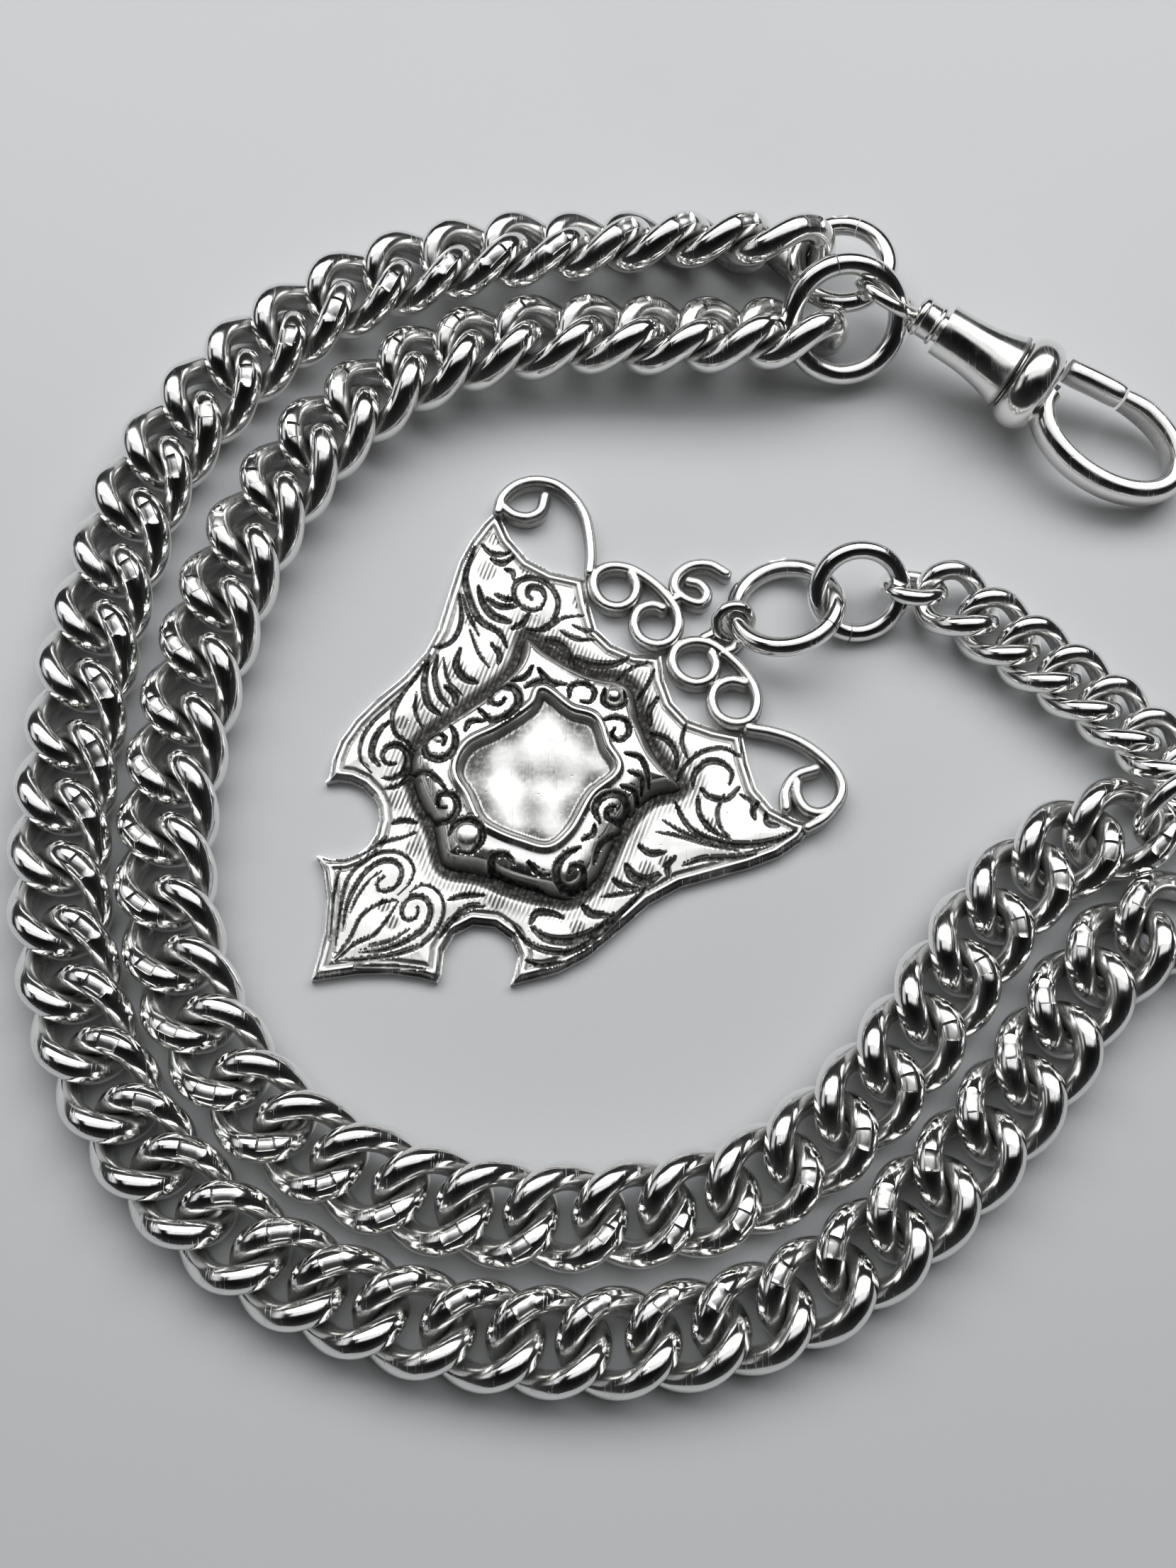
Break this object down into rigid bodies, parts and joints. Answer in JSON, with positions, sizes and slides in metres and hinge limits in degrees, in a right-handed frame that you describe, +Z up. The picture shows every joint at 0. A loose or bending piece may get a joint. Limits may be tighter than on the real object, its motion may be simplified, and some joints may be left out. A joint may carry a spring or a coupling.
{
  "type": "pocket watch chain",
  "caption": "Silver double watch chain of twisted curb links with a swivel clip at one end, a T-bar at the other and an engraved shield fob on a short drop chain.",
  "frame": {"origin": "middle of the bounding box, on the surface that the chain lies on", "axes": "+Z up from the surface; +Y away from the viewer, towards the swivel clip; +X to the right, towards the T-bar"},
  "size_m": [0.1034, 0.091, 0.0094],
  "materials": {
    "silver": "polished sterling silver, lightly scratched, dark in the recesses",
    "worn_silver": "worn engraved silver with tarnish in the cuts",
    "steel": "plain spring steel"
  },
  "bodies": {
    "swivel_bow": {"swivel_bow": "silver"},
    "clip": {"swivel_barrel": "silver", "clip_hook": "silver", "gate_pin": "steel", "gate_spring": "steel"},
    "gate_lever": {"gate_lever": "silver"},
    "strand_ring_a": {"strand_ring_a": "silver"},
    "strand_ring_b": {"strand_ring_b": "silver"},
    "outer_links_01": {"outer_links_01": "silver"},
    "outer_links_02": {"outer_links_02": "silver"},
    "outer_links_03": {"outer_links_03": "silver"},
    "outer_links_04": {"outer_links_04": "silver"},
    "outer_links_05": {"outer_links_05": "silver"},
    "outer_links_06": {"outer_links_06": "silver"},
    "outer_links_07": {"outer_links_07": "silver"},
    "outer_links_08": {"outer_links_08": "silver"},
    "outer_links_09": {"outer_links_09": "silver"},
    "outer_links_10": {"outer_links_10": "silver"},
    "outer_links_11": {"outer_links_11": "silver"},
    "outer_links_12": {"outer_links_12": "silver"},
    "outer_links_13": {"outer_links_13": "silver"},
    "outer_links_14": {"outer_links_14": "silver"},
    "outer_end_link": {"outer_end_link": "silver"},
    "inner_links_01": {"inner_links_01": "silver"},
    "inner_links_02": {"inner_links_02": "silver"},
    "inner_links_03": {"inner_links_03": "silver"},
    "inner_links_04": {"inner_links_04": "silver"},
    "inner_links_05": {"inner_links_05": "silver"},
    "inner_links_06": {"inner_links_06": "silver"},
    "inner_links_07": {"inner_links_07": "silver"},
    "inner_links_08": {"inner_links_08": "silver"},
    "inner_links_09": {"inner_links_09": "silver"},
    "inner_links_10": {"inner_links_10": "silver"},
    "inner_links_11": {"inner_links_11": "silver"},
    "inner_links_12": {"inner_links_12": "silver"},
    "inner_end_link": {"inner_end_link": "silver"},
    "junction_ring": {"junction_ring": "silver"},
    "t_bar_ring": {"t_bar_ring": "silver"},
    "t_bar": {"t_bar": "silver"},
    "drop_link_1": {"drop_link_1": "silver"},
    "drop_link_2": {"drop_link_2": "silver"},
    "drop_link_3": {"drop_link_3": "silver"},
    "drop_link_4": {"drop_link_4": "silver"},
    "drop_link_5": {"drop_link_5": "silver"},
    "drop_link_6": {"drop_link_6": "silver"},
    "drop_link_7": {"drop_link_7": "silver"},
    "drop_ring": {"drop_ring": "silver"},
    "fob_ring_2": {"fob_ring_2": "silver"},
    "fob_ring_1": {"fob_ring_1": "silver"},
    "fob": {"fob_plate": "worn_silver", "fob_cartouche": "worn_silver", "left_wing_scroll": "worn_silver", "left_centre_scroll": "worn_silver", "right_wing_scroll": "worn_silver", "right_centre_scroll": "worn_silver", "finial_scroll": "worn_silver", "fob_loop": "worn_silver"}
  },
  "joints": [
    {"name": "swivel", "type": "hinge", "parent": "swivel_bow", "child": "clip", "pos_m": [0.02124, 0.03299, 0.00463], "axis": [0.8466, -0.5087, -0.1564], "continuous": true},
    {"name": "gate_hinge", "type": "hinge", "parent": "clip", "child": "gate_lever", "pos_m": [0.02732, 0.03237, 0.00376], "axis": [-0.1341, 0.0806, -0.9877], "range_deg": [0, 24], "stiffness_Nm_per_rad": 0.0002, "springref_deg": -5.73},
    {"name": "strand_ring_a_flex", "type": "hinge", "parent": "swivel_bow", "child": "strand_ring_a", "pos_m": [0.01213, 0.03868, 0.00535], "axis": [-1, 0, 0], "range_deg": [-6, 6]},
    {"name": "strand_ring_b_flex", "type": "hinge", "parent": "swivel_bow", "child": "strand_ring_b", "pos_m": [0.01292, 0.03672, 0.00508], "axis": [1, 0, 0], "range_deg": [-6, 6]},
    {"name": "outer_links_01_flex", "type": "hinge", "parent": "strand_ring_a", "child": "outer_links_01", "pos_m": [0.00775, 0.04137, 0.00481], "axis": [-1, 0, 0], "range_deg": [-8, 8]},
    {"name": "outer_links_02_flex", "type": "hinge", "parent": "outer_links_01", "child": "outer_links_02", "pos_m": [-0.00671, 0.04305, 0.00348], "axis": [-1, 0, 0], "range_deg": [-8, 8]},
    {"name": "outer_links_03_flex", "type": "hinge", "parent": "outer_links_02", "child": "outer_links_03", "pos_m": [-0.02099, 0.04142, 0.00329], "axis": [-1, 0, 0], "range_deg": [-8, 8]},
    {"name": "outer_links_04_flex", "type": "hinge", "parent": "outer_links_03", "child": "outer_links_04", "pos_m": [-0.03381, 0.03523, 0.003], "axis": [-1, 0, 0], "range_deg": [-8, 8]},
    {"name": "outer_links_05_flex", "type": "hinge", "parent": "outer_links_04", "child": "outer_links_05", "pos_m": [-0.04286, 0.02419, 0.0027], "axis": [-1, 0, 0], "range_deg": [-8, 8]},
    {"name": "outer_links_06_flex", "type": "hinge", "parent": "outer_links_05", "child": "outer_links_06", "pos_m": [-0.04688, 0.01043, 0.00247], "axis": [-1, 0, 0], "range_deg": [-8, 8]},
    {"name": "outer_links_07_flex", "type": "hinge", "parent": "outer_links_06", "child": "outer_links_07", "pos_m": [-0.0483, -0.00387, 0.00232], "axis": [-0.9997, -0.0229, 0], "range_deg": [-8, 8]},
    {"name": "outer_links_08_flex", "type": "hinge", "parent": "outer_links_07", "child": "outer_links_08", "pos_m": [-0.04616, -0.01802, 0.00222], "axis": [-0.9249, -0.3803, 0], "range_deg": [-8, 8]},
    {"name": "outer_links_09_flex", "type": "hinge", "parent": "outer_links_08", "child": "outer_links_09", "pos_m": [-0.03893, -0.03034, 0.0022], "axis": [-0.6905, -0.7234, 0], "range_deg": [-8, 8]},
    {"name": "outer_links_10_flex", "type": "hinge", "parent": "outer_links_09", "child": "outer_links_10", "pos_m": [-0.02726, -0.03852, 0.00219], "axis": [-0.3485, -0.9373, 0], "range_deg": [-8, 8]},
    {"name": "outer_links_11_flex", "type": "hinge", "parent": "outer_links_10", "child": "outer_links_11", "pos_m": [-0.01336, -0.04199, 0.00218], "axis": [-0.0475, -0.9989, 0], "range_deg": [-8, 8]},
    {"name": "outer_links_12_flex", "type": "hinge", "parent": "outer_links_11", "child": "outer_links_12", "pos_m": [0.00088, -0.0408, 0.00216], "axis": [0.3605, -0.9328, 0], "range_deg": [-8, 8]},
    {"name": "outer_links_13_flex", "type": "hinge", "parent": "outer_links_12", "child": "outer_links_13", "pos_m": [0.01315, -0.03355, 0.00215], "axis": [0.6847, -0.7288, 0], "range_deg": [-8, 8]},
    {"name": "outer_links_14_flex", "type": "hinge", "parent": "outer_links_13", "child": "outer_links_14", "pos_m": [0.02282, -0.02293, 0.00213], "axis": [0.8256, -0.5643, 0], "range_deg": [-8, 8]},
    {"name": "outer_end_link_flex", "type": "hinge", "parent": "outer_links_14", "child": "outer_end_link", "pos_m": [0.03245, -0.01253, 0.00212], "axis": [0.3695, -0.9292, 0], "range_deg": [-8, 8]},
    {"name": "inner_links_01_flex", "type": "hinge", "parent": "strand_ring_b", "child": "inner_links_01", "pos_m": [0.00926, 0.03572, 0.00363], "axis": [1, 0, 0], "range_deg": [-8, 8]},
    {"name": "inner_links_02_flex", "type": "hinge", "parent": "inner_links_01", "child": "inner_links_02", "pos_m": [-0.00529, 0.03504, 0.00239], "axis": [1, 0, 0], "range_deg": [-8, 8]},
    {"name": "inner_links_03_flex", "type": "hinge", "parent": "inner_links_02", "child": "inner_links_03", "pos_m": [-0.01949, 0.03349, 0.00239], "axis": [1, 0, 0], "range_deg": [-8, 8]},
    {"name": "inner_links_04_flex", "type": "hinge", "parent": "inner_links_03", "child": "inner_links_04", "pos_m": [-0.03052, 0.02467, 0.00239], "axis": [1, 0, 0], "range_deg": [-8, 8]},
    {"name": "inner_links_05_flex", "type": "hinge", "parent": "inner_links_04", "child": "inner_links_05", "pos_m": [-0.03683, 0.01183, 0.00239], "axis": [1, 0, 0], "range_deg": [-8, 8]},
    {"name": "inner_links_06_flex", "type": "hinge", "parent": "inner_links_05", "child": "inner_links_06", "pos_m": [-0.0398, -0.00224, 0.00239], "axis": [1, 0, 0], "range_deg": [-8, 8]},
    {"name": "inner_links_07_flex", "type": "hinge", "parent": "inner_links_06", "child": "inner_links_07", "pos_m": [-0.03852, -0.01641, 0.00239], "axis": [0.9166, 0.3999, 0], "range_deg": [-8, 8]},
    {"name": "inner_links_08_flex", "type": "hinge", "parent": "inner_links_07", "child": "inner_links_08", "pos_m": [-0.03059, -0.02815, 0.00239], "axis": [0.5484, 0.8362, 0], "range_deg": [-8, 8]},
    {"name": "inner_links_09_flex", "type": "hinge", "parent": "inner_links_08", "child": "inner_links_09", "pos_m": [-0.01744, -0.03347, 0.00239], "axis": [0.0991, 0.9951, 0], "range_deg": [-8, 8]},
    {"name": "inner_links_10_flex", "type": "hinge", "parent": "inner_links_09", "child": "inner_links_10", "pos_m": [-0.00311, -0.03333, 0.00239], "axis": [-0.2243, 0.9745, 0], "range_deg": [-8, 8]},
    {"name": "inner_links_11_flex", "type": "hinge", "parent": "inner_links_10", "child": "inner_links_11", "pos_m": [0.00954, -0.02705, 0.00239], "axis": [-0.7303, 0.6832, 0], "range_deg": [-8, 8]},
    {"name": "inner_links_12_flex", "type": "hinge", "parent": "inner_links_11", "child": "inner_links_12", "pos_m": [0.01836, -0.01574, 0.00239], "axis": [-0.8234, 0.5674, 0], "range_deg": [-8, 8]},
    {"name": "inner_end_link_flex", "type": "hinge", "parent": "inner_links_12", "child": "inner_end_link", "pos_m": [0.02867, -0.00619, 0.00239], "axis": [-0.2126, 0.9771, 0], "range_deg": [-8, 8]},
    {"name": "junction_ring_flex", "type": "hinge", "parent": "inner_end_link", "child": "junction_ring", "pos_m": [0.03259, -0.00472, 0.00305], "axis": [0, 1, 0], "range_deg": [-6, 6]},
    {"name": "t_bar_ring_flex", "type": "hinge", "parent": "junction_ring", "child": "t_bar_ring", "pos_m": [0.03646, -0.00356, 0.00398], "axis": [0, 1, 0], "range_deg": [-6, 6]},
    {"name": "t_bar_flex", "type": "hinge", "parent": "t_bar_ring", "child": "t_bar", "pos_m": [0.03984, -0.00361, 0.004], "axis": [0, 1, 0], "range_deg": [-6, 6]},
    {"name": "drop_link_1_flex", "type": "hinge", "parent": "junction_ring", "child": "drop_link_1", "pos_m": [0.0356, -0.003, 0.00293], "axis": [-1, 0, 0], "range_deg": [-8, 8]},
    {"name": "drop_link_2_flex", "type": "hinge", "parent": "drop_link_1", "child": "drop_link_2", "pos_m": [0.03531, -0.00068, 0.0021], "axis": [-1, 0, 0], "range_deg": [-8, 8]},
    {"name": "drop_link_3_flex", "type": "hinge", "parent": "drop_link_2", "child": "drop_link_3", "pos_m": [0.03258, 0.00196, 0.00198], "axis": [-1, 0, 0], "range_deg": [-8, 8]},
    {"name": "drop_link_4_flex", "type": "hinge", "parent": "drop_link_3", "child": "drop_link_4", "pos_m": [0.02977, 0.00453, 0.00185], "axis": [-1, 0, 0], "range_deg": [-8, 8]},
    {"name": "drop_link_5_flex", "type": "hinge", "parent": "drop_link_4", "child": "drop_link_5", "pos_m": [0.02687, 0.00698, 0.00172], "axis": [-1, 0, 0], "range_deg": [-8, 8]},
    {"name": "drop_link_6_flex", "type": "hinge", "parent": "drop_link_5", "child": "drop_link_6", "pos_m": [0.0239, 0.00935, 0.00164], "axis": [-1, 0, 0], "range_deg": [-8, 8]},
    {"name": "drop_link_7_flex", "type": "hinge", "parent": "drop_link_6", "child": "drop_link_7", "pos_m": [0.02086, 0.01163, 0.0017], "axis": [-1, 0, 0], "range_deg": [-8, 8]},
    {"name": "drop_ring_flex", "type": "hinge", "parent": "drop_link_7", "child": "drop_ring", "pos_m": [0.01786, 0.01354, 0.0018], "axis": [0, -1, 0], "range_deg": [-6, 6]},
    {"name": "fob_ring_2_flex", "type": "hinge", "parent": "drop_ring", "child": "fob_ring_2", "pos_m": [0.01431, 0.01401, 0.0023], "axis": [0, -1, 0], "range_deg": [-6, 6]},
    {"name": "fob_ring_1_flex", "type": "hinge", "parent": "fob_ring_2", "child": "fob_ring_1", "pos_m": [0.00922, 0.01293, 0.00271], "axis": [0, -1, 0], "range_deg": [-6, 6]},
    {"name": "fob_flex", "type": "hinge", "parent": "fob_ring_1", "child": "fob", "pos_m": [0.00413, 0.01175, 0.00229], "axis": [0, -1, 0], "range_deg": [-6, 6]}
  ]
}
